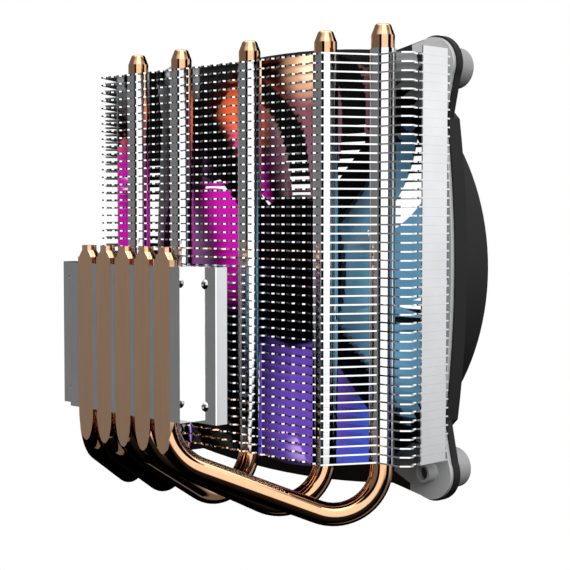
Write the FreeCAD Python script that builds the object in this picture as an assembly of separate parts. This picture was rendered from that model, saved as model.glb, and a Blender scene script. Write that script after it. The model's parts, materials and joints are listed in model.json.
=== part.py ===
"""Down-draft CPU cooler: direct-touch base, five heat pipes, a stack of fins and a slim lit fan.

Frame: +Z is up, as the cooler hangs on an upright board. The CPU contact face lies in the
plane Y = 0 and faces -Y, and the fan is at +Y. The origin is the centre of the contact face.
All sizes are in millimetres.
"""
import FreeCAD, Part
import math
import os

V = FreeCAD.Vector

# ---------------------------------------------------------------- driving dimensions
# Base block
CONTACT_WIDTH = 45.2        # face that sits on the CPU, along X
BASE_HEIGHT = 38.4          # along Z
WING_STEP = 4.1             # how far the wings stand back from the contact face
WING_THICKNESS = 3.6
WING_WIDTH = 8.7            # each wing beyond the contact block
BASE_CHAMFER = 0.2
GROOVE_CLEARANCE = 0.02     # solder gap around a pipe in its groove

# Base screws
SCREW_OUTSET = 4.6          # screw axis outside the contact block
SCREW_END_MARGIN = 4.2      # screw axis to the block's top or bottom
SCREW_SHANK_R = 0.7
SCREW_HEAD_R = 1.25
SCREW_HEAD_HEIGHT = 0.8
SCREW_RECESS_R = 0.5
SCREW_RECESS_DEPTH = 0.4

# Heat pipes
PIPE_R = 3.0
PIPE_COUNT = 5
PIPE_LAND = 1.91            # aluminium left between two pipes in the base
PIPE_OUTER_X = 48.9         # outermost pipes, where they stand in the fins
PIPE_INNER_X = 29.0         # second and fourth pipes in the fins
PIPE_Y = 44.7               # plane of the pipes in the fins
PIPE_SINK = 1.5             # pipe axis behind the contact face
PIPE_OVERHANG = 1.6         # round part of a pipe above the block, below its crimped end
PIPE_BASE_CONE = 1.8
PIPE_NUB_R = 1.9
PIPE_NUB_LENGTH = 1.3
PIPE_BEND_BASE = 13.5       # bend radii of the axis at the base and under the fins
PIPE_BEND_FINS = 12.1
PIPE_BEND_DROP = 0.1        # first bend starts this far below the block
PIPE_BEND_CLEAR = 1.6       # second bend ends this far below the bottom fin
PIPE_FLAT_OVERHANG = 8.4    # milled copper flat below the block
PIPE_FLAT_TAPER = 7.6       # height over which the flat narrows to that tip
PIPE_TIP_RISE = 8.0         # pipe tip above the top fin
PIPE_TIP_CONE = 2.9
PIPE_TIP_R = 1.9
PIPE_TIP_ROUND = 0.8

# Fins
FIN_COUNT = 47
FIN_PITCH = 2.21
FIN_THICKNESS = 0.4
FIN_STACK_BOTTOM = -30.4
FIN_SIDE_MARGIN = 12.1      # outermost pipe's axis to the fin's side
FIN_FRONT_MARGIN = 17.5     # toothed front edge ahead of the pipe axes
FIN_REAR_MARGIN = 11.7      # rear edge behind the pipe axes
FIN_FRONT_INSET = 4.7       # end of the toothed edge inside the outermost pipe
FIN_SHOULDER_MARGIN = 4.8   # shoulder edge ahead of the pipe axes
FIN_SHOULDER_OUTSET = 2.5   # start of the shoulder outside the outermost pipe
FIN_CORNER = 1.9            # cut corner at the end of the shoulder
TOOTH_COUNT = 24
TOOTH_DEPTH = 1.08
TOOTH_FLAT_SHARE = 0.13     # flat crest or flat root as a share of the tooth pitch
TOOTH_EASE_SHARE = 0.116    # gentle slope next to each flat, in width
TOOTH_EASE_DEPTH = 0.265
COLLAR_CLEARANCE = 0.03
COLLAR_WALL = 0.3
COLLAR_GAP = 0.02           # left between a collar or flange and the next fin
FLANGE_INSET = 1.0          # folded side flange ends ahead of the fin's rear edge
FLANGE_LENGTH = 9.5
NOTCH_LENGTH = 2.9
NOTCH_DEPTH = 1.2

# Fan frame, sizes in the plane square to the fan's axis
FAN_Z = 17.6                # fan axis above the origin
FAN_HOLE_SPACING = 105.0
DUCT_OUTSET = 6.85          # duct's outer radius beyond the line through the holes
DUCT_WALL = 1.85
SIDE_OUTSET = 6.85          # flange at its middle, beyond the line through the holes
SIDE_WAIST_OUTSET = 4.15    # flange at the waist below each lobe
SIDE_WAIST_INSET = 13.5     # waist's distance from the hole, along the side
TOP_OUTSET = 7.7
TOP_WAIST_OUTSET = 5.1
TOP_WAIST_INSET = 14.0
LOBE_R = 7.5
LOBE_SHIFT = 0.4            # lobe centre inward from the hole in X, outward in Z
LOBE_TANGENT = 25.0         # degrees round the lobe to where its webs touch
FAN_BORE_CLEAR_R = 1.75     # screw holes

# Fan frame, sizes along the axis
FAN_DEPTH = 13.6
LOBE_THICKNESS = 2.2
FLANGE_THICKNESS = 4.7      # flange between the lobes

# Fan rails, pads and screws
PLATE_STANDOFF = 3.6        # length of the bosses in front of a rail
RAIL_THICKNESS = 1.2
RAIL_INSET = 0.55           # rail inside the frame's outline
RAIL_WIDTH = 1.7            # at the side waists
RAIL_FOOT_INSET = 7.0       # inner edge at each end, inward from the hole
RAIL_HEEL_INSET = 12.5      # inner edge behind the fins, inward from the hole
RAIL_FOOT_RISE = 4.0        # heights of that edge's corners beyond the hole
RAIL_HEEL_RISE = 1.5
RAIL_ANKLE_DROP = 6.5       # and short of the hole
RAIL_SLIM_DROP = 15.5
BOSS_R = 2.4
PAD_R = 5.3
PAD_LENGTH = 6.7
PAD_RECESS_R = 3.2
PAD_RECESS_DEPTH = 2.6
FAN_SCREW_R = 1.6
FAN_SCREW_HEAD_R = 2.9
FAN_SCREW_HEAD_HEIGHT = 1.8
FAN_SCREW_SOCKET_R = 1.1
FAN_SCREW_SOCKET_DEPTH = 1.0
FAN_SCREW_STOP = 1.8        # screw's end behind the mouth of its boss

# Lamps in the duct wall
LED_COUNT = 4
LED_R = 1.5
LED_POCKET = 1.4            # depth of a lamp's pocket in the duct wall
LED_SEAT = 0.02             # inner end behind the bore

# Motor
STRUT_COUNT = 4
STRUT_WIDTH = 8.0
STRUT_THICKNESS = 1.8
STRUT_START_ANGLE = 45.0
MOTOR_BASE_INSET = 0.5      # motor base inside the hub's radius
SHAFT_R = 1.5
SHAFT_CLEARANCE = 0.04      # running fit in the bearing
BEARING_WALL = 1.1
TUBE_WALL = 1.0
BOARD_INSET = 4.0           # board's edge inside the hub's radius
BOARD_THICKNESS = 0.8
BOARD_STANDOFF = 0.3
AIR_GAP = 1.4               # stator to magnet
STATOR_THICKNESS = 2.6
STATOR_HUB_WALL = 2.6
STATOR_POLES = 4
STATOR_NECK = 3.6
STATOR_SHOE = 1.4
SHOE_SPAN = 58.0            # degrees that a pole shoe covers
COIL_THICKNESS = 1.1
COIL_CLEARANCE = 0.15

# Rotor
BLADE_COUNT = 9
BLADE_THICKNESS = 1.3
BLADE_TIP_GAP = 1.0
BLADE_HALF_HEIGHT = 4.2
BLADE_ROOT_HALF = 6.6       # half chord across the blade at the hub and at the tip
BLADE_TIP_HALF = 18.5
BLADE_SWEEP = 22.0          # degrees that the tip leads the root
HUB_R = 20.0
HUB_WALL = 1.6
HUB_FACE = 1.6
YOKE_WALL = 0.8
MAGNET_THICKNESS = 1.6
MAGNET_HEIGHT = 5.0
ROTOR_LIFT = 0.7            # hub's open rim behind the motor base
CLIP_THICKNESS = 0.4
CLIP_CLEARANCE = 0.2        # clip to the wall of the bearing tube
CLIP_GROOVE = 0.35
THRUST_PAD = 0.5

# ---------------------------------------------------------------- derived positions
HALF_CONTACT = CONTACT_WIDTH / 2
HALF_SPAN = HALF_CONTACT + WING_WIDTH
HALF_BASE = BASE_HEIGHT / 2
BASE_DEPTH = WING_STEP + WING_THICKNESS
PIPE_PITCH_BASE = 2 * PIPE_R + PIPE_LAND
PIPE_FLAT_TIP_Z = -HALF_BASE - PIPE_FLAT_OVERHANG
PIPE_BASE_END = HALF_BASE + PIPE_OVERHANG
PIPE_BEND1_Z = -HALF_BASE - PIPE_BEND_DROP
PIPE_BEND2_Z = FIN_STACK_BOTTOM - PIPE_BEND_CLEAR
FIN_TOP = FIN_STACK_BOTTOM + (FIN_COUNT - 1) * FIN_PITCH + FIN_THICKNESS
PIPE_TOP = FIN_TOP + PIPE_TIP_RISE
COLLAR_BORE_R = PIPE_R + COLLAR_CLEARANCE
COLLAR_TOP = FIN_PITCH - COLLAR_GAP
FIN_HALF_WIDTH = PIPE_OUTER_X + FIN_SIDE_MARGIN
FIN_FRONT_HALF = PIPE_OUTER_X - FIN_FRONT_INSET
FIN_SHOULDER_HALF = PIPE_OUTER_X + FIN_SHOULDER_OUTSET
FIN_FRONT_Y = PIPE_Y - FIN_FRONT_MARGIN
FIN_SHOULDER_Y = PIPE_Y - FIN_SHOULDER_MARGIN
FIN_REAR_Y = PIPE_Y + FIN_REAR_MARGIN
FLANGE_REAR_Y = FIN_REAR_Y - FLANGE_INSET
FLANGE_FRONT_Y = FLANGE_REAR_Y - FLANGE_LENGTH
NOTCH_FRONT_Y = FLANGE_FRONT_Y - NOTCH_LENGTH

HALF_HOLES = FAN_HOLE_SPACING / 2
DUCT_R = HALF_HOLES + DUCT_OUTSET
FAN_BORE_R = DUCT_R - DUCT_WALL
RAIL_FRONT = FIN_REAR_Y + PLATE_STANDOFF
FAN_FRONT = RAIL_FRONT + RAIL_THICKNESS
FAN_REAR = FAN_FRONT + FAN_DEPTH
LOBE_REAR = FAN_FRONT + LOBE_THICKNESS
FLANGE_REAR = FAN_FRONT + FLANGE_THICKNESS
PAD_REAR = LOBE_REAR + PAD_LENGTH
LED_Y = (FLANGE_REAR + FAN_REAR) / 2

MOTOR_BACK = FAN_FRONT + STRUT_THICKNESS
MOTOR_BASE_R = HUB_R - MOTOR_BASE_INSET
BEARING_R = SHAFT_R + BEARING_WALL
BEARING_TUBE_R = BEARING_R + TUBE_WALL
CLIP_R = BEARING_R - CLIP_CLEARANCE
BOARD_R = HUB_R - BOARD_INSET
BOARD_FRONT = MOTOR_BACK + BOARD_STANDOFF
HUB_OPEN = MOTOR_BACK + ROTOR_LIFT
HUB_CLOSED = FAN_REAR - BLADE_TIP_GAP
YOKE_R = HUB_R - HUB_WALL
YOKE_CLOSED = HUB_CLOSED - HUB_FACE
MAGNET_R = YOKE_R - YOKE_WALL
STATOR_R = MAGNET_R - MAGNET_THICKNESS - AIR_GAP
STATOR_SHOE_R = STATOR_R - STATOR_SHOE
STATOR_HUB_R = BEARING_TUBE_R + STATOR_HUB_WALL
TUBE_END = YOKE_CLOSED - YOKE_WALL - ROTOR_LIFT
STATOR_FRONT = BOARD_FRONT + BOARD_THICKNESS + COIL_THICKNESS + COIL_CLEARANCE
BLADE_MID = (HUB_OPEN + HUB_CLOSED) / 2
BLADE_TIP_R = FAN_BORE_R - BLADE_TIP_GAP
SHAFT_FRONT = MOTOR_BACK + THRUST_PAD


# ---------------------------------------------------------------- helpers
def disc(radius, front, rear, x=0.0, z=FAN_Z):
    """Cylinder along +Y between two Y planes."""
    return Part.makeCylinder(radius, rear - front, V(x, front, z), V(0, 1, 0))


def turned(shape, degrees):
    """Shape turned round the fan's axis, in place."""
    shape.rotate(V(0, 0, FAN_Z), V(0, 1, 0), degrees)
    return shape


def ring(outer, inner, front, rear, x=0.0, z=FAN_Z):
    """Round tube along Y."""
    return disc(outer, front, rear, x, z).cut(disc(inner, front, rear, x, z))


def plate_y(points, front, rear):
    """Prism along Y from (x, z) outline points."""
    wire = Part.makePolygon([V(x, front, z) for x, z in points + points[:1]])
    return Part.Face(wire).extrude(V(0, rear - front, 0))


def fuse(shapes):
    """Union of several shapes as one clean solid."""
    return shapes[0].multiFuse(shapes[1:]).removeSplitter()


def mirrored_corners():
    """Signs of the four fan corners, as (x, z)."""
    return [(sx, sz) for sx in (-1, 1) for sz in (-1, 1)]


def corner_centre(sx, sz):
    """Centre of a fan mounting hole, as (x, z)."""
    return sx * HALF_HOLES, FAN_Z + sz * HALF_HOLES


# ---------------------------------------------------------------- base
def pipe_base_x(index):
    """X of a pipe in the base block."""
    return (index - (PIPE_COUNT - 1) / 2) * PIPE_PITCH_BASE


def pipe_bed(x, margin, bottom, top):
    """Space that a pressed pipe fills: flat front, round back."""
    radius = PIPE_R + margin
    height = top - bottom
    back = Part.makeCylinder(radius, height, V(x, PIPE_SINK, bottom))
    front = Part.makeBox(2 * radius, PIPE_SINK + 1, height, V(x - radius, -1, bottom))
    return back.fuse(front)


def base_block():
    """Aluminium block with a raised contact face, two wings and a groove for each pipe."""
    contact = Part.makeBox(CONTACT_WIDTH, BASE_DEPTH, BASE_HEIGHT, V(-HALF_CONTACT, 0, -HALF_BASE))
    wings = Part.makeBox(2 * HALF_SPAN, WING_THICKNESS, BASE_HEIGHT, V(-HALF_SPAN, WING_STEP, -HALF_BASE))
    front_edges = [
        edge for edge in wings.Edges
        if abs(abs(edge.CenterOfMass.x) - HALF_SPAN) < 0.01
        and abs(edge.CenterOfMass.y - WING_STEP) < 0.01
    ]
    wings = wings.makeChamfer(BASE_CHAMFER, front_edges)
    block = contact.fuse(wings).removeSplitter()
    for index in range(PIPE_COUNT):
        bed = pipe_bed(pipe_base_x(index), GROOVE_CLEARANCE, -HALF_BASE - 1, HALF_BASE + 1)
        block = block.cut(bed)
    for x, z in base_screw_centres():
        block = block.cut(disc(SCREW_SHANK_R, WING_STEP - 1, BASE_DEPTH + 1, x, z))
    return block


def base_screw_centres():
    """The four screws in the wings, as (x, z)."""
    x = HALF_CONTACT + SCREW_OUTSET
    z = HALF_BASE - SCREW_END_MARGIN
    return [(sx * x, sz * z) for sx, sz in mirrored_corners()]


def base_screws():
    """Small dome-headed screws, heads on the front of the wings."""
    screws = []
    for x, z in base_screw_centres():
        shank = disc(SCREW_SHANK_R, WING_STEP - SCREW_HEAD_HEIGHT / 2, BASE_DEPTH, x, z)
        dome_r = (SCREW_HEAD_R ** 2 + SCREW_HEAD_HEIGHT ** 2) / (2 * SCREW_HEAD_HEIGHT)
        dome_y = WING_STEP - SCREW_HEAD_HEIGHT + dome_r
        head = Part.makeSphere(dome_r, V(x, dome_y, z))
        head = head.common(disc(SCREW_HEAD_R, WING_STEP - SCREW_HEAD_HEIGHT - 1, WING_STEP, x, z))
        top = WING_STEP - SCREW_HEAD_HEIGHT
        recess = disc(SCREW_RECESS_R, top - 1, top + SCREW_RECESS_DEPTH, x, z)
        screws.append(fuse([head, shank]).cut(recess))
    return Part.makeCompound(screws)


# ---------------------------------------------------------------- heat pipes
def pipe_fin_x(index):
    """X of a pipe where it stands in the fins."""
    distances = (0.0, PIPE_INNER_X, PIPE_OUTER_X)
    place = index - PIPE_COUNT // 2
    return math.copysign(distances[abs(place)], place)


def pipe_path(index):
    """Centre line: down the base, a bend, a slanting run, a bend, up through the fins."""
    base = V(pipe_base_x(index), PIPE_SINK, 0)
    fins = V(pipe_fin_x(index), PIPE_Y, 0)
    length = fins.sub(base).Length
    along = fins.sub(base) / length

    def point(distance, z):
        return base + along * distance + V(0, 0, z)

    def on_bend(centre_distance, centre_z, radius, angle):
        return point(centre_distance - radius * math.cos(angle), centre_z - radius * math.sin(angle))

    r1 = PIPE_BEND_BASE
    r2 = PIPE_BEND_FINS
    far = length - r2
    # The run touches both bends, so its slope follows from the line between their centres.
    gap_along = far - r1
    gap_up = PIPE_BEND2_Z - PIPE_BEND1_Z
    tilt = math.asin((r2 - r1) / math.hypot(gap_along, gap_up))
    slope = tilt - math.atan2(gap_up, gap_along)
    leave = math.pi / 2 - slope
    bend1_in = on_bend(r1, PIPE_BEND1_Z, r1, 0)
    bend1_mid = on_bend(r1, PIPE_BEND1_Z, r1, leave / 2)
    bend1_out = on_bend(r1, PIPE_BEND1_Z, r1, leave)
    bend2_in = on_bend(far, PIPE_BEND2_Z, r2, leave)
    bend2_mid = on_bend(far, PIPE_BEND2_Z, r2, (leave + math.pi) / 2)
    bend2_out = on_bend(far, PIPE_BEND2_Z, r2, math.pi)
    return Part.Wire([
        Part.makeLine(point(0, PIPE_BASE_END), bend1_in),
        Part.Arc(bend1_in, bend1_mid, bend1_out).toShape(),
        Part.makeLine(bend1_out, bend2_in),
        Part.Arc(bend2_in, bend2_mid, bend2_out).toShape(),
        Part.makeLine(bend2_out, point(length, PIPE_TOP - PIPE_TIP_CONE)),
    ])


def pipe_flat(x):
    """Widened front of a pressed pipe, which narrows to a rounded tip below the block."""
    bottom = PIPE_FLAT_TIP_Z + PIPE_FLAT_TAPER
    upper = Part.makeBox(2 * PIPE_R, PIPE_SINK, PIPE_BASE_END - bottom, V(x - PIPE_R, 0, bottom))
    oval = Part.Ellipse(V(0, 0, 0), PIPE_FLAT_TAPER, PIPE_R).toShape()
    oval.rotate(V(0, 0, 0), V(0, 1, 0), 90)
    oval.rotate(V(0, 0, 0), V(0, 0, 1), 90)
    oval.translate(V(x, 0, bottom))
    tip = Part.Face(Part.Wire([oval]))
    return upper.fuse(tip.extrude(V(0, PIPE_SINK, 0)))


def heat_pipe(index):
    """Copper heat pipe, milled flush with the contact face."""
    path = pipe_path(index)
    x = pipe_base_x(index)
    start = V(x, PIPE_SINK, PIPE_BASE_END)
    profile = Part.Wire([Part.makeCircle(PIPE_R, start, V(0, 0, 1))])
    tube = path.makePipeShell([profile], True, False)
    cone = Part.makeCone(PIPE_R, PIPE_NUB_R, PIPE_BASE_CONE, start)
    nub_base = start + V(0, 0, PIPE_BASE_CONE)
    nub = Part.makeCylinder(PIPE_NUB_R, PIPE_NUB_LENGTH, nub_base)
    tip_base = V(pipe_fin_x(index), PIPE_Y, PIPE_TOP - PIPE_TIP_CONE)
    tip = Part.makeCone(PIPE_R, PIPE_TIP_R, PIPE_TIP_CONE, tip_base)
    rim = [edge for edge in tip.Edges if abs(edge.CenterOfMass.z - PIPE_TOP) < 0.01]
    tip = tip.makeFillet(PIPE_TIP_ROUND, rim)
    pipe = fuse([tube, pipe_flat(x), cone, nub, tip])
    reach = 4 * PIPE_R
    corner = V(x - reach, -reach, -HALF_BASE - reach)
    return pipe.cut(Part.makeBox(2 * reach, reach, 2 * reach + BASE_HEIGHT, corner))


# ---------------------------------------------------------------- fins
def tooth_points():
    """Toothed front edge from left to right; each flank is gentle, steep, then gentle."""
    pitch = 2 * FIN_FRONT_HALF / TOOTH_COUNT
    flat = pitch * TOOTH_FLAT_SHARE / 2
    ease = pitch * TOOTH_EASE_SHARE
    root = pitch / 2 - flat
    half_profile = [
        (flat, 0.0),
        (flat + ease, TOOTH_EASE_DEPTH),
        (root - ease, TOOTH_DEPTH - TOOTH_EASE_DEPTH),
        (root, TOOTH_DEPTH),
    ]
    profile = half_profile + [(pitch - x, depth) for x, depth in reversed(half_profile)]
    points = [(-FIN_FRONT_HALF, FIN_FRONT_Y)]
    for index in range(TOOTH_COUNT):
        left = -FIN_FRONT_HALF + index * pitch
        points += [(left + x, FIN_FRONT_Y + depth) for x, depth in profile]
    points.append((FIN_FRONT_HALF, FIN_FRONT_Y))
    return points


def fin_side_points():
    """Right-hand edge of a fin, from the front edge's end to the rear edge."""
    corner = FIN_HALF_WIDTH - FIN_CORNER
    inner = FIN_HALF_WIDTH - NOTCH_DEPTH
    return [
        (FIN_SHOULDER_HALF, FIN_SHOULDER_Y),
        (corner, FIN_SHOULDER_Y),
        (FIN_HALF_WIDTH, FIN_SHOULDER_Y + FIN_CORNER),
        (FIN_HALF_WIDTH, NOTCH_FRONT_Y),
        (inner, NOTCH_FRONT_Y + NOTCH_DEPTH / 2),
        (inner, FLANGE_FRONT_Y - NOTCH_DEPTH / 2),
        (FIN_HALF_WIDTH, FLANGE_FRONT_Y - NOTCH_DEPTH / 4),
        (FIN_HALF_WIDTH, FIN_REAR_Y),
    ]


def single_fin():
    """One fin at Z = 0: toothed plate, a collar round each pipe, a folded flange on each side."""
    right = fin_side_points()
    left = [(-x, y) for x, y in reversed(right)]
    outline = tooth_points() + right + left
    wire = Part.makePolygon([V(x, y, 0) for x, y in outline + outline[:1]])
    fin = Part.Face(wire).extrude(V(0, 0, FIN_THICKNESS))
    parts = [fin]
    for index in range(PIPE_COUNT):
        centre = V(pipe_fin_x(index), PIPE_Y, 0)
        parts.append(Part.makeCylinder(COLLAR_BORE_R + COLLAR_WALL, COLLAR_TOP, centre))
    flange_length = FLANGE_REAR_Y - FLANGE_FRONT_Y
    for x in (-FIN_HALF_WIDTH, FIN_HALF_WIDTH - FIN_THICKNESS):
        parts.append(Part.makeBox(FIN_THICKNESS, flange_length, COLLAR_TOP, V(x, FLANGE_FRONT_Y, 0)))
    fin = fuse(parts)
    for index in range(PIPE_COUNT):
        centre = V(pipe_fin_x(index), PIPE_Y, -1)
        fin = fin.cut(Part.makeCylinder(COLLAR_BORE_R, COLLAR_TOP + 2, centre))
    return fin


def fin_group(first, last):
    """Fins first to last - 1 of the stack, as separate solids."""
    pattern = single_fin()
    fins = []
    for index in range(first, last):
        fin = pattern.copy()
        fin.translate(V(0, 0, FIN_STACK_BOTTOM + index * FIN_PITCH))
        fins.append(fin)
    return Part.makeCompound(fins)


# ---------------------------------------------------------------- fan frame and rails
def lobe_centre(sx, sz):
    """Centre of a corner lobe, as (x, z)."""
    return sx * (HALF_HOLES - LOBE_SHIFT), FAN_Z + sz * (HALF_HOLES + LOBE_SHIFT)


def waists(inset):
    """Side and top waist of the upper right quarter, from the fan's axis."""
    side = (HALF_HOLES + SIDE_WAIST_OUTSET - inset, HALF_HOLES - SIDE_WAIST_INSET)
    top = (HALF_HOLES - TOP_WAIST_INSET, HALF_HOLES + TOP_WAIST_OUTSET - inset)
    return side, top


def barrel_plate(inset, front, rear):
    """Plate with four slightly bulging edges that meet in cut corners."""
    side, top = waists(inset)
    side_x = HALF_HOLES + SIDE_OUTSET - inset
    top_z = HALF_HOLES + TOP_OUTSET - inset

    def at(x, z):
        return V(x, front, FAN_Z + z)

    wire = Part.Wire([
        Part.Arc(at(-top[0], top[1]), at(0, top_z), at(top[0], top[1])).toShape(),
        Part.makeLine(at(top[0], top[1]), at(side[0], side[1])),
        Part.Arc(at(side[0], side[1]), at(side_x, 0), at(side[0], -side[1])).toShape(),
        Part.makeLine(at(side[0], -side[1]), at(top[0], -top[1])),
        Part.Arc(at(top[0], -top[1]), at(0, -top_z), at(-top[0], -top[1])).toShape(),
        Part.makeLine(at(-top[0], -top[1]), at(-side[0], -side[1])),
        Part.Arc(at(-side[0], -side[1]), at(-side_x, 0), at(-side[0], side[1])).toShape(),
        Part.makeLine(at(-side[0], side[1]), at(-top[0], top[1])),
    ])
    return Part.Face(wire).extrude(V(0, rear - front, 0))


def corner_web(sx, sz, inset, front, rear):
    """Web from both waists to a corner lobe."""
    side, top = waists(inset)
    radius = LOBE_R - inset
    cx, cz = lobe_centre(1, 1)
    tangent = math.radians(LOBE_TANGENT)
    touch_x = radius * math.cos(tangent)
    touch_z = radius * math.sin(tangent)
    outline = [
        side,
        (cx + touch_x, cz - FAN_Z - touch_z),
        (cx, cz - FAN_Z),
        (cx - touch_z, cz - FAN_Z + touch_x),
        top,
        (top[0], side[1]),
    ]
    return plate_y([(sx * x, FAN_Z + sz * z) for x, z in outline], front, rear)


def lobed_plate(inset, front, rear):
    """Barrel plate with a lobe at each mounting hole."""
    parts = [barrel_plate(inset, front, rear)]
    for sx, sz in mirrored_corners():
        x, z = lobe_centre(sx, sz)
        parts.append(corner_web(sx, sz, inset, front, rear))
        parts.append(disc(LOBE_R - inset, front, rear, x, z))
    return fuse(parts)


def rail_region(sx):
    """Prism that keeps one side rail of the lobed plate: slim beside the duct, wide at its ends."""
    side, top = waists(RAIL_INSET)
    slim_x = side[0] - RAIL_WIDTH
    beyond = HALF_HOLES + 2 * LOBE_R
    heel_x = HALF_HOLES - RAIL_HEEL_INSET
    foot_x = HALF_HOLES - RAIL_FOOT_INSET
    upper = [
        (slim_x, HALF_HOLES - RAIL_SLIM_DROP),
        (heel_x, HALF_HOLES - RAIL_ANKLE_DROP),
        (heel_x, HALF_HOLES + RAIL_HEEL_RISE),
        (foot_x, HALF_HOLES + RAIL_FOOT_RISE),
        (foot_x, beyond),
        (beyond, beyond),
    ]
    lower = [(x, -z) for x, z in reversed(upper)]
    return plate_y([(sx * x, FAN_Z + z) for x, z in upper + lower], RAIL_FRONT - 1, FAN_FRONT + 1)


def fan_rail(sx):
    """Light metal rail at one side of the fan, with a tubular boss at each end."""
    plate = lobed_plate(RAIL_INSET, RAIL_FRONT, FAN_FRONT).common(rail_region(sx))
    parts = [plate.cut(disc(FAN_BORE_R, RAIL_FRONT - 1, FAN_FRONT + 1))]
    for sz in (-1, 1):
        x, z = corner_centre(sx, sz)
        parts.append(disc(BOSS_R, FIN_REAR_Y, FAN_FRONT, x, z))
    rail = fuse(parts)
    for sz in (-1, 1):
        x, z = corner_centre(sx, sz)
        rail = rail.cut(disc(FAN_BORE_CLEAR_R, FIN_REAR_Y - 1, FAN_FRONT + 1, x, z))
    return rail


def motor_struts():
    """Struts from the duct to the motor base, as a list."""
    struts = []
    for index in range(STRUT_COUNT):
        corner = V(0, FAN_FRONT, FAN_Z - STRUT_WIDTH / 2)
        strut = Part.makeBox(FAN_BORE_R + DUCT_WALL / 2, STRUT_THICKNESS, STRUT_WIDTH, corner)
        struts.append(turned(strut, STRUT_START_ANGLE + index * 360.0 / STRUT_COUNT))
    return struts


def lamp_pins(inner, outer):
    """Pins along the radius at the lamps' places, as a list."""
    pins = []
    for index in range(LED_COUNT):
        pin = Part.makeCylinder(LED_R, outer - inner, V(inner, LED_Y, FAN_Z), V(1, 0, 0))
        pins.append(turned(pin, index * 360.0 / LED_COUNT))
    return pins


def fan_frame():
    """Black frame: round duct, bulging flange, corner lobes, struts, motor base and bearing tube."""
    parts = [
        disc(DUCT_R, FAN_FRONT, FAN_REAR),
        barrel_plate(0.0, FAN_FRONT, FLANGE_REAR),
        lobed_plate(0.0, FAN_FRONT, LOBE_REAR),
    ]
    frame = fuse(parts).cut(disc(FAN_BORE_R, FAN_FRONT - 1, FAN_REAR + 1))
    motor_base = disc(MOTOR_BASE_R, FAN_FRONT, MOTOR_BACK)
    bearing_tube = disc(BEARING_TUBE_R, FAN_FRONT, TUBE_END)
    frame = fuse([frame, motor_base, bearing_tube] + motor_struts())
    frame = frame.cut(disc(BEARING_R, MOTOR_BACK, TUBE_END + 1))
    for pin in lamp_pins(FAN_BORE_R - LED_R, FAN_BORE_R + LED_POCKET):
        frame = frame.cut(pin)
    for sx, sz in mirrored_corners():
        x, z = corner_centre(sx, sz)
        frame = frame.cut(disc(FAN_BORE_CLEAR_R, FAN_FRONT - 1, LOBE_REAR + 1, x, z))
    return frame


def leds():
    """Lamps in the duct wall that light the blades' tips."""
    return Part.makeCompound(lamp_pins(FAN_BORE_R + LED_SEAT, FAN_BORE_R + LED_POCKET))


def isolator_pad(sx, sz):
    """Soft round pad behind a corner lobe, counterbored for the screw head."""
    x, z = corner_centre(sx, sz)
    pad = ring(PAD_R, FAN_BORE_CLEAR_R, LOBE_REAR, PAD_REAR, x, z)
    return pad.cut(disc(PAD_RECESS_R, PAD_REAR - PAD_RECESS_DEPTH, PAD_REAR + 1, x, z))


def fan_screws():
    """Screws from the back through the pads and lobes into the bosses."""
    screws = []
    seat = PAD_REAR - PAD_RECESS_DEPTH
    for sx, sz in mirrored_corners():
        x, z = corner_centre(sx, sz)
        shank = disc(FAN_SCREW_R, FIN_REAR_Y + FAN_SCREW_STOP, seat + FAN_SCREW_HEAD_HEIGHT / 2, x, z)
        head = disc(FAN_SCREW_HEAD_R, seat, seat + FAN_SCREW_HEAD_HEIGHT, x, z)
        socket_floor = seat + FAN_SCREW_HEAD_HEIGHT - FAN_SCREW_SOCKET_DEPTH
        socket = disc(FAN_SCREW_SOCKET_R, socket_floor, PAD_REAR, x, z)
        screws.append(fuse([shank, head]).cut(socket))
    return Part.makeCompound(screws)


# ---------------------------------------------------------------- motor
def thrust_pad():
    """Wear disc at the closed end of the bearing tube."""
    return disc(BEARING_R, MOTOR_BACK, SHAFT_FRONT)


def bearing_sleeve():
    """Oil-filled sleeve bearing inside the tube."""
    front = SHAFT_FRONT + 2 * CLIP_THICKNESS + 2 * CLIP_GROOVE
    return ring(BEARING_R, SHAFT_R + SHAFT_CLEARANCE, front, TUBE_END)


def driver_board():
    """Round circuit board on the motor base."""
    rear = BOARD_FRONT + BOARD_THICKNESS
    return ring(BOARD_R, BEARING_TUBE_R + COIL_CLEARANCE, BOARD_FRONT, rear)


def stator_core():
    """Laminated core with its poles around the bearing tube."""
    rear = STATOR_FRONT + STATOR_THICKNESS
    poles = [disc(STATOR_HUB_R, STATOR_FRONT, rear)]
    shoe_ring = ring(STATOR_R, STATOR_SHOE_R, STATOR_FRONT, rear)
    half_span = math.radians(SHOE_SPAN / 2)
    window_x = STATOR_SHOE_R * math.cos(half_span)
    window_z = STATOR_R * math.sin(half_span)
    for index in range(STATOR_POLES):
        neck = Part.makeBox(
            STATOR_R - STATOR_SHOE / 2, STATOR_THICKNESS, STATOR_NECK,
            V(0, STATOR_FRONT, FAN_Z - STATOR_NECK / 2),
        )
        window = Part.makeBox(
            STATOR_R, STATOR_THICKNESS, 2 * window_z,
            V(window_x, STATOR_FRONT, FAN_Z - window_z),
        )
        pole = fuse([neck, shoe_ring.common(window)])
        poles.append(turned(pole, index * 360.0 / STATOR_POLES))
    bore = disc(BEARING_TUBE_R, STATOR_FRONT - 1, rear + 1)
    return fuse(poles).cut(bore)


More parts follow.
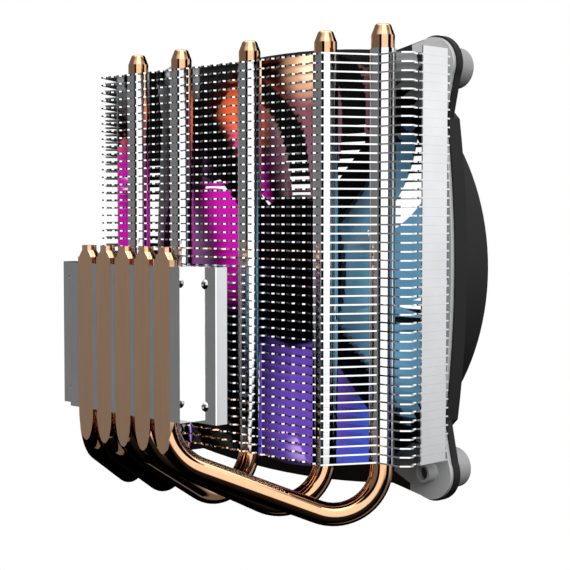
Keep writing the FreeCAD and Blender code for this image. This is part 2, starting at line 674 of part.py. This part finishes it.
def stator_coils():
    """One winding around each pole neck."""
    half = STATOR_NECK / 2 + COIL_THICKNESS
    inner = STATOR_HUB_R + COIL_CLEARANCE
    outer_end = math.sqrt(STATOR_SHOE_R ** 2 - half ** 2) - COIL_CLEARANCE
    length = outer_end - inner
    coils = []
    for index in range(STATOR_POLES):
        outer = Part.makeBox(
            length, STATOR_THICKNESS + 2 * COIL_THICKNESS, 2 * half,
            V(inner, STATOR_FRONT - COIL_THICKNESS, FAN_Z - half),
        )
        neck = Part.makeBox(
            length + 2, STATOR_THICKNESS, STATOR_NECK,
            V(inner - 1, STATOR_FRONT, FAN_Z - STATOR_NECK / 2),
        )
        coils.append(turned(outer.cut(neck), index * 360.0 / STATOR_POLES))
    return Part.makeCompound(coils)


# ---------------------------------------------------------------- rotor
def blade_section(radius, half_chord, lean):
    """Thin slanting section of a blade, square to the radius at an angle from +X."""
    along = V(0, BLADE_HALF_HEIGHT, half_chord)
    across = V(0, half_chord, -BLADE_HALF_HEIGHT)
    across = across * (BLADE_THICKNESS / 2 / across.Length)
    centre = V(radius, BLADE_MID, FAN_Z)
    corners = [
        centre - along - across,
        centre + along - across,
        centre + along + across,
        centre - along + across,
    ]
    return turned(Part.makePolygon(corners + corners[:1]), lean)


def fan_blade():
    """One sickle-shaped blade that rises from the hub to the tip."""
    root = YOKE_R + HUB_WALL / 2
    span = FAN_BORE_R + BLADE_TIP_GAP - root
    sections = []
    for share in (0.0, 0.5, 1.0):
        radius = root + share * span
        half_chord = BLADE_ROOT_HALF + share * (BLADE_TIP_HALF - BLADE_ROOT_HALF)
        sections.append(blade_section(radius, half_chord, -BLADE_SWEEP * share ** 2))
    blade = Part.makeLoft(sections, True, False)
    return blade.common(disc(BLADE_TIP_R, FAN_FRONT - 10, FAN_REAR + 10))


def impeller():
    """Clear moulded hub with its blades."""
    cup = disc(HUB_R, HUB_OPEN, HUB_CLOSED)
    parts = [cup]
    for index in range(BLADE_COUNT):
        parts.append(turned(fan_blade(), index * 360.0 / BLADE_COUNT))
    solid = fuse(parts)
    hollow = disc(YOKE_R, HUB_OPEN - 5, YOKE_CLOSED)
    return solid.cut(hollow)


def rotor_yoke():
    """Steel cup pressed into the hub."""
    cup = disc(YOKE_R, HUB_OPEN, YOKE_CLOSED)
    cup = cup.cut(disc(MAGNET_R, HUB_OPEN - 1, YOKE_CLOSED - YOKE_WALL))
    return cup.cut(disc(SHAFT_R, HUB_OPEN - 1, YOKE_CLOSED + 1))


def magnet_ring():
    """Ring magnet inside the yoke."""
    rear = YOKE_CLOSED - YOKE_WALL
    return ring(MAGNET_R, MAGNET_R - MAGNET_THICKNESS, rear - MAGNET_HEIGHT, rear)


def shaft():
    """Steel shaft with a clip groove near its front end."""
    pin = disc(SHAFT_R, SHAFT_FRONT, YOKE_CLOSED)
    groove_front = SHAFT_FRONT + CLIP_THICKNESS
    groove = ring(SHAFT_R + 1, SHAFT_R - CLIP_GROOVE, groove_front, groove_front + CLIP_THICKNESS)
    return pin.cut(groove)


def shaft_clip():
    """Split washer in the shaft's groove."""
    front = SHAFT_FRONT + CLIP_THICKNESS
    clip = ring(CLIP_R, SHAFT_R - CLIP_GROOVE, front, front + CLIP_THICKNESS)
    slot = Part.makeBox(CLIP_R + 1, CLIP_THICKNESS, SHAFT_R / 2, V(0, front, FAN_Z - SHAFT_R / 4))
    return clip.cut(slot)


# ---------------------------------------------------------------- output
def build():
    """All nodes of the cooler by name."""
    nodes = {
        "base_block": base_block(),
        "base_screws": base_screws(),
        "fan_rail_left": fan_rail(-1),
        "fan_rail_right": fan_rail(1),
        "fan_frame": fan_frame(),
        "fan_screws": fan_screws(),
        "thrust_pad": thrust_pad(),
        "bearing_sleeve": bearing_sleeve(),
        "driver_board": driver_board(),
        "leds": leds(),
        "stator_core": stator_core(),
        "stator_coils": stator_coils(),
        "impeller": impeller(),
        "rotor_yoke": rotor_yoke(),
        "magnet_ring": magnet_ring(),
        "shaft": shaft(),
        "shaft_clip": shaft_clip(),
    }
    for index in range(PIPE_COUNT):
        nodes["heat_pipe_%d" % (index + 1)] = heat_pipe(index)
    corner_names = ("lower_left", "upper_left", "lower_right", "upper_right")
    for name, (sx, sz) in zip(corner_names, mirrored_corners()):
        nodes["isolator_pad_" + name] = isolator_pad(sx, sz)
    nodes["fins"] = fin_group(0, FIN_COUNT)
    return nodes


os.makedirs("parts", exist_ok=True)
for node_name, node_shape in build().items():
    node_shape.exportStep(os.path.join("parts", node_name + ".step"))
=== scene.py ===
"""Down-draft CPU cooler: materials, lights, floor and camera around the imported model.

Metres, in the frame of the model: +Z up, the contact face towards -Y, the fan at +Y.
"""

import json
import math

import bpy
from mathutils import Matrix, Vector


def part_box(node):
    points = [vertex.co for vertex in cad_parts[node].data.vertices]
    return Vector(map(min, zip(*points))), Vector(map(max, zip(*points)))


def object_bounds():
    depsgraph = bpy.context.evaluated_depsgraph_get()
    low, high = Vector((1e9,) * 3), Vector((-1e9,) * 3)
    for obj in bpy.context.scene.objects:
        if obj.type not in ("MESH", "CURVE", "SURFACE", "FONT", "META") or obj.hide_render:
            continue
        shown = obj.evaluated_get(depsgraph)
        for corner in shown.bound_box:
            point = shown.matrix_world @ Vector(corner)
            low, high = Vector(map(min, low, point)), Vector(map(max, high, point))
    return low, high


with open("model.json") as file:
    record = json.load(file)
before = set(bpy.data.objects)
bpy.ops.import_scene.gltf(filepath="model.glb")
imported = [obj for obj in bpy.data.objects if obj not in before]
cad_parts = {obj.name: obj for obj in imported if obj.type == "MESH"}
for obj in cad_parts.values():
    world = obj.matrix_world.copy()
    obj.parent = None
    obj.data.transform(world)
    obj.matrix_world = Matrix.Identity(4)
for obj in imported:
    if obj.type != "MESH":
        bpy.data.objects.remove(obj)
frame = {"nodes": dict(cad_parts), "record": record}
CAD_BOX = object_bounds()

# ---------------------------------------------------------------- view and studio
CAMERA_PLACE = (0.2818, -0.2194, 0.0322)
CAMERA_AZIMUTH = 45.41      # degrees round from -Y towards +X
CAMERA_DROP = 2.94          # degrees that the view points down
FOCAL_MM = 87.84
SENSOR_MM = 36.0
FLOOR_DROP = 0.30           # floor below the lowest part, as the cooler hangs from its board
FLOOR_SIZE = 12.0

# ---------------------------------------------------------------- scales of the surface detail and of the patches in the painted LED light
METAL_BROAD = 90.0          # slow change of colour, waves per metre
PLASTIC_BROAD = 60.0
COPPER_STREAKS = 900.0
# patches in the painted LED light on the blades, waves per metre
PAINTED_LIGHT_STREAKS = 70.0
BLADE_GRAIN = 900.0
MILLED_DEPTH = 0.00002      # copper nearer the contact face than this is milled

# ---------------------------------------------------------------- node helpers


def new_material(name):
    """Empty node material with its output; returns (material, tree, output)."""
    material = bpy.data.materials.new(name)
    material.use_nodes = True
    tree = material.node_tree
    tree.nodes.clear()
    output = tree.nodes.new("ShaderNodeOutputMaterial")
    return material, tree, output


def add(tree, kind, **values):
    """New node with properties set by name."""
    node = tree.nodes.new(kind)
    for key, value in values.items():
        setattr(node, key, value)
    return node


def principled(tree, output, **sockets):
    """Principled shader joined to the output, constant sockets set directly."""
    shader = tree.nodes.new("ShaderNodeBsdfPrincipled")
    for key, value in sockets.items():
        shader.inputs[key.replace("_", " ")].default_value = value
    tree.links.new(shader.outputs["BSDF"], output.inputs["Surface"])
    return shader


def position(tree, scale=(1.0, 1.0, 1.0)):
    """Object position, stretched by scale."""
    place = add(tree, "ShaderNodeTexCoord")
    stretch = add(tree, "ShaderNodeMapping")
    stretch.inputs["Scale"].default_value = scale
    tree.links.new(place.outputs["Object"], stretch.inputs["Vector"])
    return stretch.outputs["Vector"]


def noise(tree, vector, scale, detail=3.0, roughness=0.5):
    """Noise factor at a scale per metre."""
    node = add(tree, "ShaderNodeTexNoise")
    node.inputs["Scale"].default_value = scale
    node.inputs["Detail"].default_value = detail
    node.inputs["Roughness"].default_value = roughness
    tree.links.new(vector, node.inputs["Vector"])
    return node.outputs["Fac"]


def spread(tree, value, low, high):
    """Maps 0..1 onto low..high."""
    node = add(tree, "ShaderNodeMapRange")
    node.inputs["To Min"].default_value = low
    node.inputs["To Max"].default_value = high
    tree.links.new(value, node.inputs["Value"])
    return node.outputs["Result"]


def ramp(tree, value, stops, mode="LINEAR"):
    """Colour ramp from (place, colour) stops."""
    node = add(tree, "ShaderNodeValToRGB")
    node.color_ramp.interpolation = mode
    elements = node.color_ramp.elements
    while len(elements) > 1:
        elements.remove(elements[-1])
    elements[0].position = stops[0][0]
    elements[0].color = (*stops[0][1], 1.0)
    for place, colour in stops[1:]:
        element = elements.new(place)
        element.color = (*colour, 1.0)
    tree.links.new(value, node.inputs["Fac"])
    return node.outputs["Color"]


def blend_colours(tree, kind, first, second):
    """Two colours multiplied or added in full."""
    node = add(tree, "ShaderNodeMix", data_type="RGBA", blend_type=kind)
    node.inputs["Factor"].default_value = 1.0
    tree.links.new(first, node.inputs[6])
    tree.links.new(second, node.inputs[7])
    return node.outputs[2]


def bump(tree, shader, height, strength, distance):
    """Bump from a height value."""
    node = add(tree, "ShaderNodeBump")
    node.inputs["Strength"].default_value = strength
    node.inputs["Distance"].default_value = distance
    tree.links.new(height, node.inputs["Height"])
    tree.links.new(node.outputs["Normal"], shader.inputs["Normal"])


# ---------------------------------------------------------------- materials


def paint(tree, shader, colour, variation, scale):
    """Base colour that drifts slowly between a darker and a lighter tone."""
    broad = noise(tree, position(tree), scale, 2.0)
    darker = tuple(c * (1.0 - variation) for c in colour)
    lighter = tuple(min(1.0, c * (1.0 + variation)) for c in colour)
    tint = ramp(tree, broad, [(0.3, darker), (0.7, lighter)])
    tree.links.new(tint, shader.inputs["Base Color"])


def metal(name, colour, rough_low, rough_high, grain, grain_scale, variation=0.04, bump_depth=0.00001):
    """Metal with fine grain stretched along one axis, in colour, roughness and bump."""
    material, tree, output = new_material(name)
    shader = principled(tree, output, Metallic=1.0)
    stretched = noise(tree, position(tree, grain), grain_scale, 4.0)
    paint(tree, shader, colour, variation, METAL_BROAD)
    tree.links.new(spread(tree, stretched, rough_low, rough_high), shader.inputs["Roughness"])
    bump(tree, shader, stretched, 0.15, bump_depth)
    return material


def plastic(name, colour, rough_low, rough_high, grain_scale, bump_depth, variation=0.15):
    """Moulded plastic or rubber with a fine texture."""
    material, tree, output = new_material(name)
    shader = principled(tree, output)
    fine = noise(tree, position(tree), grain_scale, 3.0)
    paint(tree, shader, colour, variation, PLASTIC_BROAD)
    tree.links.new(spread(tree, fine, rough_low, rough_high), shader.inputs["Roughness"])
    bump(tree, shader, fine, 0.3, bump_depth)
    return material


def copper_pipe():
    """Polished copper, with the milled flat on the contact face duller and browner."""
    material, tree, output = new_material("pipe_copper")
    shader = principled(tree, output, Metallic=1.0)
    place = add(tree, "ShaderNodeNewGeometry")
    split = add(tree, "ShaderNodeSeparateXYZ")
    tree.links.new(place.outputs["Position"], split.inputs["Vector"])
    flat = add(tree, "ShaderNodeMath", operation="LESS_THAN")
    flat.inputs[1].default_value = MILLED_DEPTH
    tree.links.new(split.outputs["Y"], flat.inputs[0])
    streaks = noise(tree, position(tree, (1.0, 1.0, 0.05)), COPPER_STREAKS, 4.0)
    polished = ramp(tree, streaks, [(0.2, (0.84, 0.48, 0.27)), (0.8, (0.90, 0.54, 0.32))])
    milled = ramp(tree, streaks, [(0.2, (0.43, 0.27, 0.17)), (0.8, (0.49, 0.31, 0.20))])
    tint = add(tree, "ShaderNodeMix", data_type="RGBA")
    tree.links.new(flat.outputs["Value"], tint.inputs["Factor"])
    tree.links.new(polished, tint.inputs[6])
    tree.links.new(milled, tint.inputs[7])
    tree.links.new(tint.outputs[2], shader.inputs["Base Color"])
    rough = add(tree, "ShaderNodeMix", data_type="FLOAT")
    tree.links.new(flat.outputs["Value"], rough.inputs["Factor"])
    tree.links.new(spread(tree, streaks, 0.02, 0.05), rough.inputs[2])
    tree.links.new(spread(tree, streaks, 0.32, 0.40), rough.inputs[3])
    tree.links.new(rough.outputs[0], shader.inputs["Roughness"])
    tree.links.new(spread(tree, flat.outputs["Value"], 1.0, 0.5), shader.inputs["Metallic"])
    bump(tree, shader, streaks, 0.1, 0.000004)
    return material


# Painted light of the frame's LEDs on the blades, as emission fixed to the impeller; the two small pale
# pools are painted highlights: place from its axis (x, z), reach (x, z), colour.
PAINTED_LED_LIGHT = [
    ((0.001, 0.052), (0.015, 0.010), (0.80, 0.45, 0.22)),
    ((0.002, 0.053), (0.008, 0.005), (0.60, 0.60, 0.45)),
    ((0.004, 0.036), (0.022, 0.024), (0.19, 0.08, 0.11)),
    ((-0.026, 0.040), (0.014, 0.012), (0.85, 0.15, 0.05)),
    ((-0.031, 0.014), (0.014, 0.024), (0.64, 0.01, 0.44)),
    ((-0.056, 0.000), (0.014, 0.036), (0.20, 0.08, 0.20)),
    ((-0.002, -0.038), (0.020, 0.028), (0.20, 0.09, 0.60)),
    ((-0.005, -0.047), (0.006, 0.005), (0.60, 0.40, 0.50)),
    ((0.025, -0.046), (0.017, 0.018), (0.06, 0.10, 0.58)),
    ((0.037, -0.004), (0.026, 0.042), (0.12, 0.29, 0.44)),
]


def glow(tree, vector, place, reach, colour):
    """One pool of light: a colour that fades out towards its reach."""
    shift = add(tree, "ShaderNodeMapping")
    scale = (1.0 / reach[0], 0.0, 1.0 / reach[1])
    shift.inputs["Scale"].default_value = scale
    shift.inputs["Location"].default_value = (-place[0] * scale[0], 0.0, -place[1] * scale[2])
    tree.links.new(vector, shift.inputs["Vector"])
    distance = add(tree, "ShaderNodeVectorMath", operation="LENGTH")
    tree.links.new(shift.outputs["Vector"], distance.inputs[0])
    fade = add(tree, "ShaderNodeMapRange", interpolation_type="SMOOTHSTEP")
    fade.inputs["From Min"].default_value = 0.35
    fade.inputs["From Max"].default_value = 1.1
    fade.inputs["To Min"].default_value = 1.0
    fade.inputs["To Max"].default_value = 0.0
    tree.links.new(distance.outputs["Value"], fade.inputs["Value"])
    tint = add(tree, "ShaderNodeVectorMath", operation="SCALE")
    tint.inputs[0].default_value = colour
    tree.links.new(fade.outputs["Result"], tint.inputs["Scale"])
    return tint.outputs["Vector"]


def impeller_with_painted_led_light():
    """Near-black gloss plastic with painted LED light as emission: warm above, magenta and violet to the
    left and below, blue.
    """
    material, tree, output = new_material("impeller_clear")
    place = add(tree, "ShaderNodeTexCoord")
    shift = add(tree, "ShaderNodeMapping")
    shift.inputs["Location"].default_value = (0.0, 0.0, -frame_axis_height())
    tree.links.new(place.outputs["Object"], shift.inputs["Vector"])
    light = None
    # Painted LED light: the pools add up into one emission colour.
    for centre, reach, colour in PAINTED_LED_LIGHT:
        pool = glow(tree, shift.outputs["Vector"], centre, reach, colour)
        if light is None:
            light = pool
            continue
        total = add(tree, "ShaderNodeVectorMath", operation="ADD")
        tree.links.new(light, total.inputs[0])
        tree.links.new(pool, total.inputs[1])
        light = total.outputs["Vector"]
    # Painted LED light made patchy by broad streaks of noise.
    waves = noise(tree, position(tree, (1.0, 0.3, 1.0)), PAINTED_LIGHT_STREAKS, 3.0)
    streaks = spread(tree, waves, 0.55, 1.3)
    mottled_painted_light = add(tree, "ShaderNodeVectorMath", operation="SCALE")
    tree.links.new(light, mottled_painted_light.inputs[0])
    tree.links.new(streaks, mottled_painted_light.inputs["Scale"])
    shader = principled(tree, output, IOR=1.49, Emission_Strength=1.0)
    # Near-black base: painted shade standing in for the clear plastic where the LEDs leave it unlit.
    shader.inputs["Base Color"].default_value = (0.012, 0.013, 0.016, 1.0)
    tree.links.new(mottled_painted_light.outputs["Vector"], shader.inputs["Emission Color"])
    fine = noise(tree, position(tree), BLADE_GRAIN, 2.0)
    tree.links.new(spread(tree, fine, 0.08, 0.18), shader.inputs["Roughness"])
    bump(tree, shader, fine, 0.1, 0.000004)
    return material


def frame_axis_height():
    """Height of the fan's axis."""
    low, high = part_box("shaft")
    return (low[2] + high[2]) / 2


MATERIALS = {
    "base_aluminium": lambda: metal("base_aluminium", (0.92, 0.925, 0.93), 0.04, 0.08, (1, 1, 0.04), 2500.0),
    "screw_steel": lambda: metal("screw_steel", (0.60, 0.60, 0.61), 0.10, 0.18, (1, 1, 1), 3000.0),
    "pipe_copper": copper_pipe,
    "fin_aluminium": lambda: metal("fin_aluminium", (0.91, 0.92, 0.93), 0.03, 0.07, (0.05, 1, 1), 1800.0),
    "bracket_grey": lambda: plastic("bracket_grey", (0.44, 0.445, 0.45), 0.3, 0.4, 2500.0, 0.000003, 0.04),
    "frame_black": lambda: plastic("frame_black", (0.006, 0.006, 0.0062), 0.5, 0.6, 2500.0, 0.00001),
    "pad_rubber": lambda: plastic("pad_rubber", (0.24, 0.24, 0.245), 0.45, 0.6, 3000.0, 0.00001, 0.06),
    "screw_black": lambda: metal("screw_black", (0.08, 0.08, 0.085), 0.25, 0.4, (1, 1, 1), 2500.0),
    "nylon_white": lambda: plastic("nylon_white", (0.80, 0.79, 0.75), 0.4, 0.5, 2500.0, 0.00001, 0.03),
    "bearing_bronze": lambda: metal("bearing_bronze", (0.66, 0.46, 0.24), 0.3, 0.45, (1, 1, 1), 4000.0),
    "board_green": lambda: plastic("board_green", (0.02, 0.13, 0.05), 0.25, 0.4, 1500.0, 0.00001, 0.3),
    "led_lens": lambda: plastic("led_lens", (0.9, 0.88, 0.75), 0.05, 0.1, 1500.0, 0.000002, 0.02),
    "core_steel": lambda: metal("core_steel", (0.42, 0.42, 0.43), 0.3, 0.45, (1, 12, 1), 900.0),
    "coil_copper": lambda: metal("coil_copper", (0.72, 0.30, 0.12), 0.2, 0.35, (1, 8, 1), 1200.0),
    "impeller_clear": impeller_with_painted_led_light,
    "yoke_steel": lambda: metal("yoke_steel", (0.55, 0.56, 0.57), 0.18, 0.3, (1, 0.05, 1), 2000.0),
    "magnet_dark": lambda: plastic("magnet_dark", (0.05, 0.045, 0.045), 0.5, 0.65, 3000.0, 0.00002),
    "shaft_steel": lambda: metal("shaft_steel", (0.70, 0.71, 0.72), 0.08, 0.14, (1, 0.05, 1), 4000.0),
    "clip_steel": lambda: metal("clip_steel", (0.58, 0.58, 0.6), 0.2, 0.3, (1, 1, 1), 4000.0),
}


def paint_nodes():
    """Gives every CAD node the material of its slot."""
    made = {slot: make() for slot, make in MATERIALS.items()}
    for piece in frame["record"]["subparts"]:
        target = frame["nodes"][piece["node"]]
        for holder in target.material_slots:
            holder.material = made[piece["material_slot"]]


# ---------------------------------------------------------------- studio


def studio_world():
    """White behind the object; a dark room with tall soft panels in what the metal mirrors."""
    world = bpy.data.worlds.new("studio")
    bpy.context.scene.world = world
    world.use_nodes = True
    tree = world.node_tree
    tree.nodes.clear()
    output = add(tree, "ShaderNodeOutputWorld")
    ray = add(tree, "ShaderNodeLightPath")
    place = add(tree, "ShaderNodeTexCoord")
    split = add(tree, "ShaderNodeSeparateXYZ")
    tree.links.new(place.outputs["Generated"], split.inputs["Vector"])
    back = add(tree, "ShaderNodeMath", operation="MULTIPLY")
    back.inputs[1].default_value = -1.0
    tree.links.new(split.outputs["Y"], back.inputs[0])
    # direction as an azimuth from -Y towards +X, -180..180 degrees, mapped onto 0..1
    angle = add(tree, "ShaderNodeMath", operation="ARCTAN2")
    tree.links.new(split.outputs["X"], angle.inputs[0])
    tree.links.new(back.outputs["Value"], angle.inputs[1])
    turn = add(tree, "ShaderNodeMapRange")
    turn.inputs["From Min"].default_value = -math.pi
    turn.inputs["From Max"].default_value = math.pi
    tree.links.new(angle.outputs["Value"], turn.inputs["Value"])

    def at(degrees):
        return (degrees + 180.0) / 360.0

    grey = (0.174, 0.174, 0.176)
    dark = (0.004, 0.004, 0.004)
    white = (1.22, 1.22, 1.22)
    side = (0.93, 0.93, 0.94)
    none = (0.0, 0.0, 0.0)
    panels = ramp(tree, turn.outputs["Result"], [
        (at(-180), dark), (at(-128), dark), (at(-122), grey), (at(4), grey), (at(10), dark),
        (at(26), dark), (at(30), white), (at(88), white), (at(92), dark), (at(180), dark),
    ])
    side_panel = ramp(tree, turn.outputs["Result"], [
        (at(122), none), (at(126), side), (at(152), side), (at(156), none),
    ])
    # elevation: darker below, bright soft box above
    up = add(tree, "ShaderNodeMapRange")
    up.inputs["From Min"].default_value = -1.0
    up.inputs["From Max"].default_value = 1.0
    tree.links.new(split.outputs["Z"], up.inputs["Value"])
    height = ramp(tree, up.outputs["Result"], [
        (0.00, (0.0, 0.0, 0.0)), (0.36, (0.02, 0.02, 0.02)), (0.41, (1.0, 1.0, 1.0)),
        (0.80, (1.1, 1.1, 1.1)), (1.00, (1.1, 1.1, 1.1)),
    ])
    fading = ramp(tree, up.outputs["Result"], [
        (0.30, (0.2, 0.2, 0.2)), (0.416, (0.635, 0.635, 0.635)), (0.516, (1.0, 1.0, 1.0)),
    ])
    ceiling = ramp(tree, up.outputs["Result"], [
        (0.0, (0.0, 0.0, 0.0)), (0.82, (0.0, 0.0, 0.0)), (0.90, (1.6, 1.6, 1.6)), (1.0, (1.6, 1.6, 1.6)),
    ])
    front = blend_colours(tree, "MULTIPLY", panels, height)
    beside = blend_colours(tree, "MULTIPLY", side_panel, fading)
    total = blend_colours(tree, "ADD", blend_colours(tree, "ADD", front, beside), ceiling)
    mirrored = add(tree, "ShaderNodeBackground")
    tree.links.new(total, mirrored.inputs["Color"])
    plain = add(tree, "ShaderNodeBackground")
    plain.inputs["Color"].default_value = (1.0, 1.0, 1.0, 1.0)
    mix = add(tree, "ShaderNodeMixShader")
    tree.links.new(ray.outputs["Is Camera Ray"], mix.inputs["Fac"])
    tree.links.new(mirrored.outputs["Background"], mix.inputs[1])
    tree.links.new(plain.outputs["Background"], mix.inputs[2])
    tree.links.new(mix.outputs["Shader"], output.inputs["Surface"])


def soft_light(name, place, target, size, watts):
    """Square area light aimed at a point."""
    data = bpy.data.lights.new(name, "AREA")
    data.size = size
    data.energy = watts
    light = bpy.data.objects.new(name, data)
    bpy.context.collection.objects.link(light)
    light.location = place
    aim = Vector(target) - Vector(place)
    light.rotation_euler = aim.to_track_quat("-Z", "Y").to_euler()
    light.visible_glossy = False
    return light


def studio_floor():
    """Pale floor well below the hanging cooler."""
    low = CAD_BOX[0]
    level = low[2] - FLOOR_DROP
    half = FLOOR_SIZE / 2
    mesh = bpy.data.meshes.new("floor")
    corners = [(-half, -half, level), (half, -half, level), (half, half, level), (-half, half, level)]
    mesh.from_pydata(corners, [], [(0, 1, 2, 3)])
    floor = bpy.data.objects.new("floor", mesh)
    bpy.context.collection.objects.link(floor)
    material, tree, output = new_material("floor_white")
    glow = add(tree, "ShaderNodeEmission")
    glow.inputs["Color"].default_value = (1.0, 1.0, 1.0, 1.0)
    tree.links.new(glow.outputs["Emission"], output.inputs["Surface"])
    mesh.materials.append(material)
    floor.visible_glossy = False
    floor.visible_diffuse = False


def camera():
    """Camera at the viewing angle of the reference."""
    data = bpy.data.cameras.new("camera")
    data.lens = FOCAL_MM
    data.sensor_width = SENSOR_MM
    data.clip_start = 0.01
    view = bpy.data.objects.new("camera", data)
    bpy.context.collection.objects.link(view)
    turn = Matrix.Rotation(math.radians(CAMERA_AZIMUTH), 4, "Z")
    tilt = Matrix.Rotation(math.radians(90.0 - CAMERA_DROP), 4, "X")
    view.matrix_world = Matrix.Translation(CAMERA_PLACE) @ turn @ tilt
    bpy.context.scene.camera = view


paint_nodes()
studio_world()
studio_floor()
soft_light("key", (0.7, -0.5, 0.6), (0, 0.04, 0.01), 0.6, 6.0)
soft_light("fill", (-0.6, -0.6, 0.3), (0, 0.04, 0.01), 0.8, 2.0)
soft_light("back", (0.5, 0.9, 0.4), (0, 0.04, 0.01), 0.7, 6.0)
camera()
bpy.context.scene.view_settings.view_transform = "Standard"
